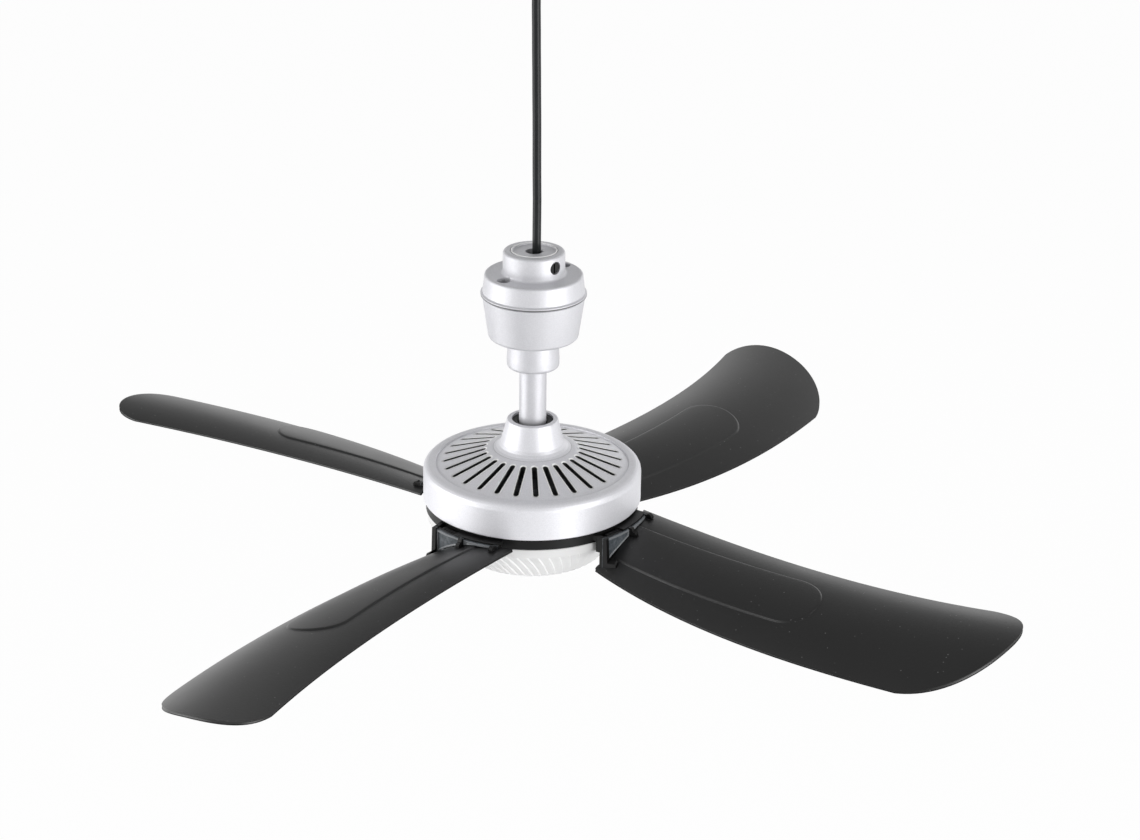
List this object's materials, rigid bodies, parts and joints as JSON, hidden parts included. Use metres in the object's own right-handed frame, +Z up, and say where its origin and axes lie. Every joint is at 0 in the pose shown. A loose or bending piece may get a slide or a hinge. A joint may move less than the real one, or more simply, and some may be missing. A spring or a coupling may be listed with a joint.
{
  "type": "hanging camping fan",
  "caption": "Hanging mini fan with cambered blades on a round vented motor housing, a short rod, a small canopy and a cord that ends in a steel hook.",
  "frame": {"origin": "seat of the hook: the lowest point of the hook's inner top edge, where the bar it hangs from bears", "axes": "+Z up along the fan's axis; +X along the first blade's radius line and in the plane of the hook; +Y completes a right-handed frame"},
  "size_m": [0.4052, 0.4052, 0.2785],
  "materials": {
    "housing_silver": "satin silver paint on moulded plastic",
    "rod_silver": "satin silver steel tube",
    "blade_black": "charcoal plastic with a fine matte texture",
    "bracket_black": "smooth black plastic with a soft gloss",
    "cover_white": "smooth white plastic",
    "cord_black": "smooth flexible sheath with a soft gloss",
    "seal_black": "matte rubber",
    "grip_black": "smooth black plastic",
    "hook_steel": "bright plated steel wire",
    "fastener_steel": "zinc plated steel",
    "bearing_steel": "ground and polished steel",
    "core_steel": "stacked electrical steel sheets",
    "rotor_black": "black phosphated steel",
    "magnet_grey": "dark grey pressed ferrite",
    "winding_copper": "enamelled copper wire",
    "nylon_white": "natural nylon",
    "board_green": "lacquered circuit board"
  },
  "bodies": {
    "hanger": {"hanging_hook": "hook_steel", "hook_jam_nut": "hook_steel", "cord_grip_body": "grip_black", "grip_collet": "seal_black", "cord_grip_nut": "grip_black", "cord": "cord_black", "neck_insert": "housing_silver", "neck_set_screw": "fastener_steel", "cord_stop": "fastener_steel", "canopy_top": "housing_silver", "canopy_cup": "housing_silver", "canopy_screws": "fastener_steel", "terminal_block": "nylon_white", "rod_washer": "fastener_steel", "rod_lock_nut": "fastener_steel", "down_rod": "rod_silver", "upper_bearing_inner_race": "bearing_steel", "lower_bearing_inner_race": "bearing_steel", "upper_spacer": "fastener_steel", "lower_spacer": "fastener_steel", "stator_hub": "nylon_white", "stator_core": "core_steel", "stator_windings": "winding_copper", "circuit_board": "board_green", "axle_circlip": "fastener_steel"},
    "rotor": {"motor_housing": "housing_silver", "dust_seal": "seal_black", "upper_bearing_outer_race": "bearing_steel", "lower_bearing_outer_race": "bearing_steel", "upper_bearing_balls": "bearing_steel", "lower_bearing_balls": "bearing_steel", "rotor_cup": "rotor_black", "magnet_ring": "magnet_grey", "rotor_screws": "fastener_steel", "blade_carrier": "bracket_black", "lower_cover": "cover_white", "blade_bracket_1": "bracket_black", "blade_bracket_2": "bracket_black", "blade_bracket_3": "bracket_black", "blade_bracket_4": "bracket_black", "blade_1": "blade_black", "blade_2": "blade_black", "blade_3": "blade_black", "blade_4": "blade_black"}
  },
  "joints": [
    {"name": "rotor_spin", "type": "hinge", "parent": "hanger", "child": "rotor", "pos_m": [0, 0, -0.25], "axis": [0, 0, 1], "continuous": true}
  ]
}
